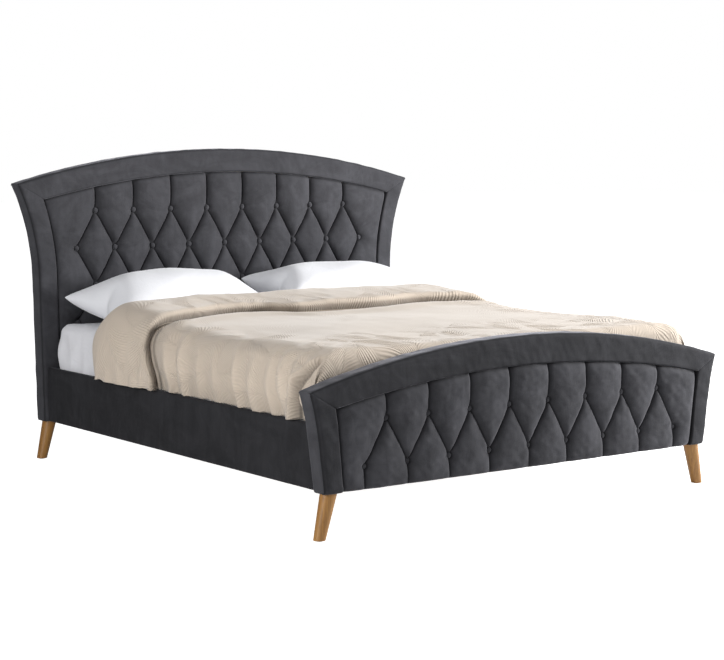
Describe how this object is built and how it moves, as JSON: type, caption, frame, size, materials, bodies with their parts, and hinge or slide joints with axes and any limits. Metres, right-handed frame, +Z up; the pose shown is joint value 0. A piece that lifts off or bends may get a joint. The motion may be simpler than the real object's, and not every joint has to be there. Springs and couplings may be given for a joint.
{
  "type": "upholstered bed",
  "caption": "Velvet upholstered double bed with an arched, deep-buttoned headboard and footboard, splayed oak legs, slatted base, mattress, pillows and duvet.",
  "frame": {"origin": "on the floor, at the middle of the bed's footprint", "axes": "+X across the bed to the right as seen from the foot, +Y from the footboard to the headboard, +Z up"},
  "size_m": [2.11, 2.21, 1.3558],
  "materials": {
    "velvet": "short-pile velvet over foam",
    "oak": "satin lacquer",
    "plywood": "unfinished",
    "hardboard": "unfinished",
    "timber": "planed softwood",
    "slat_birch": "laminated birch, clear lacquer",
    "holder_plastic": "moulded",
    "glide_plastic": "moulded",
    "black_steel": "powder coated",
    "zinc_steel": "bright zinc",
    "mattress_sheet": "plain cotton fitted sheet",
    "pillow_cotton": "plain cotton",
    "duvet_cotton": "embossed cotton"
  },
  "bodies": {
    "root": {"bracket_bolts": "zinc_steel", "centre_leg_1": "black_steel", "centre_leg_2": "black_steel", "centre_rail": "black_steel", "centre_slat_holders": "holder_plastic", "duvet": "duvet_cotton", "foot_centre_rail_hanger": "black_steel", "foot_left_corner_bracket": "zinc_steel", "foot_right_corner_bracket": "zinc_steel", "footboard_back_cover": "velvet", "footboard_back_panel": "hardboard", "footboard_bottom_rail": "timber", "footboard_buttons": "velvet", "footboard_edge_cover": "velvet", "footboard_front_board": "plywood", "footboard_left_border": "velvet", "footboard_left_post": "timber", "footboard_right_border": "velvet", "footboard_right_post": "timber", "footboard_top_border": "velvet", "footboard_top_rail": "timber", "footboard_tufted_pad": "velvet", "front_left_leg": "oak", "front_right_leg": "oak", "glides": "glide_plastic", "head_centre_rail_hanger": "black_steel", "head_left_corner_bracket": "zinc_steel", "head_right_corner_bracket": "zinc_steel", "headboard_back_cover": "velvet", "headboard_back_panel": "hardboard", "headboard_bottom_rail": "timber", "headboard_buttons": "velvet", "headboard_edge_cover": "velvet", "headboard_front_board": "plywood", "headboard_left_border": "velvet", "headboard_left_post": "timber", "headboard_middle_rail": "timber", "headboard_right_border": "velvet", "headboard_right_post": "timber", "headboard_top_border": "velvet", "headboard_top_rail": "timber", "headboard_tufted_pad": "velvet", "left_pillow": "pillow_cotton", "left_rail_board": "plywood", "left_rail_cover": "velvet", "left_slat_holders": "holder_plastic", "left_slat_ledge": "timber", "left_slats": "slat_birch", "leg_bolts": "zinc_steel", "mattress": "mattress_sheet", "rear_left_leg": "oak", "rear_right_leg": "oak", "right_pillow": "pillow_cotton", "right_rail_board": "plywood", "right_rail_cover": "velvet", "right_slat_holders": "holder_plastic", "right_slat_ledge": "timber", "right_slats": "slat_birch"}
  },
  "joints": []
}
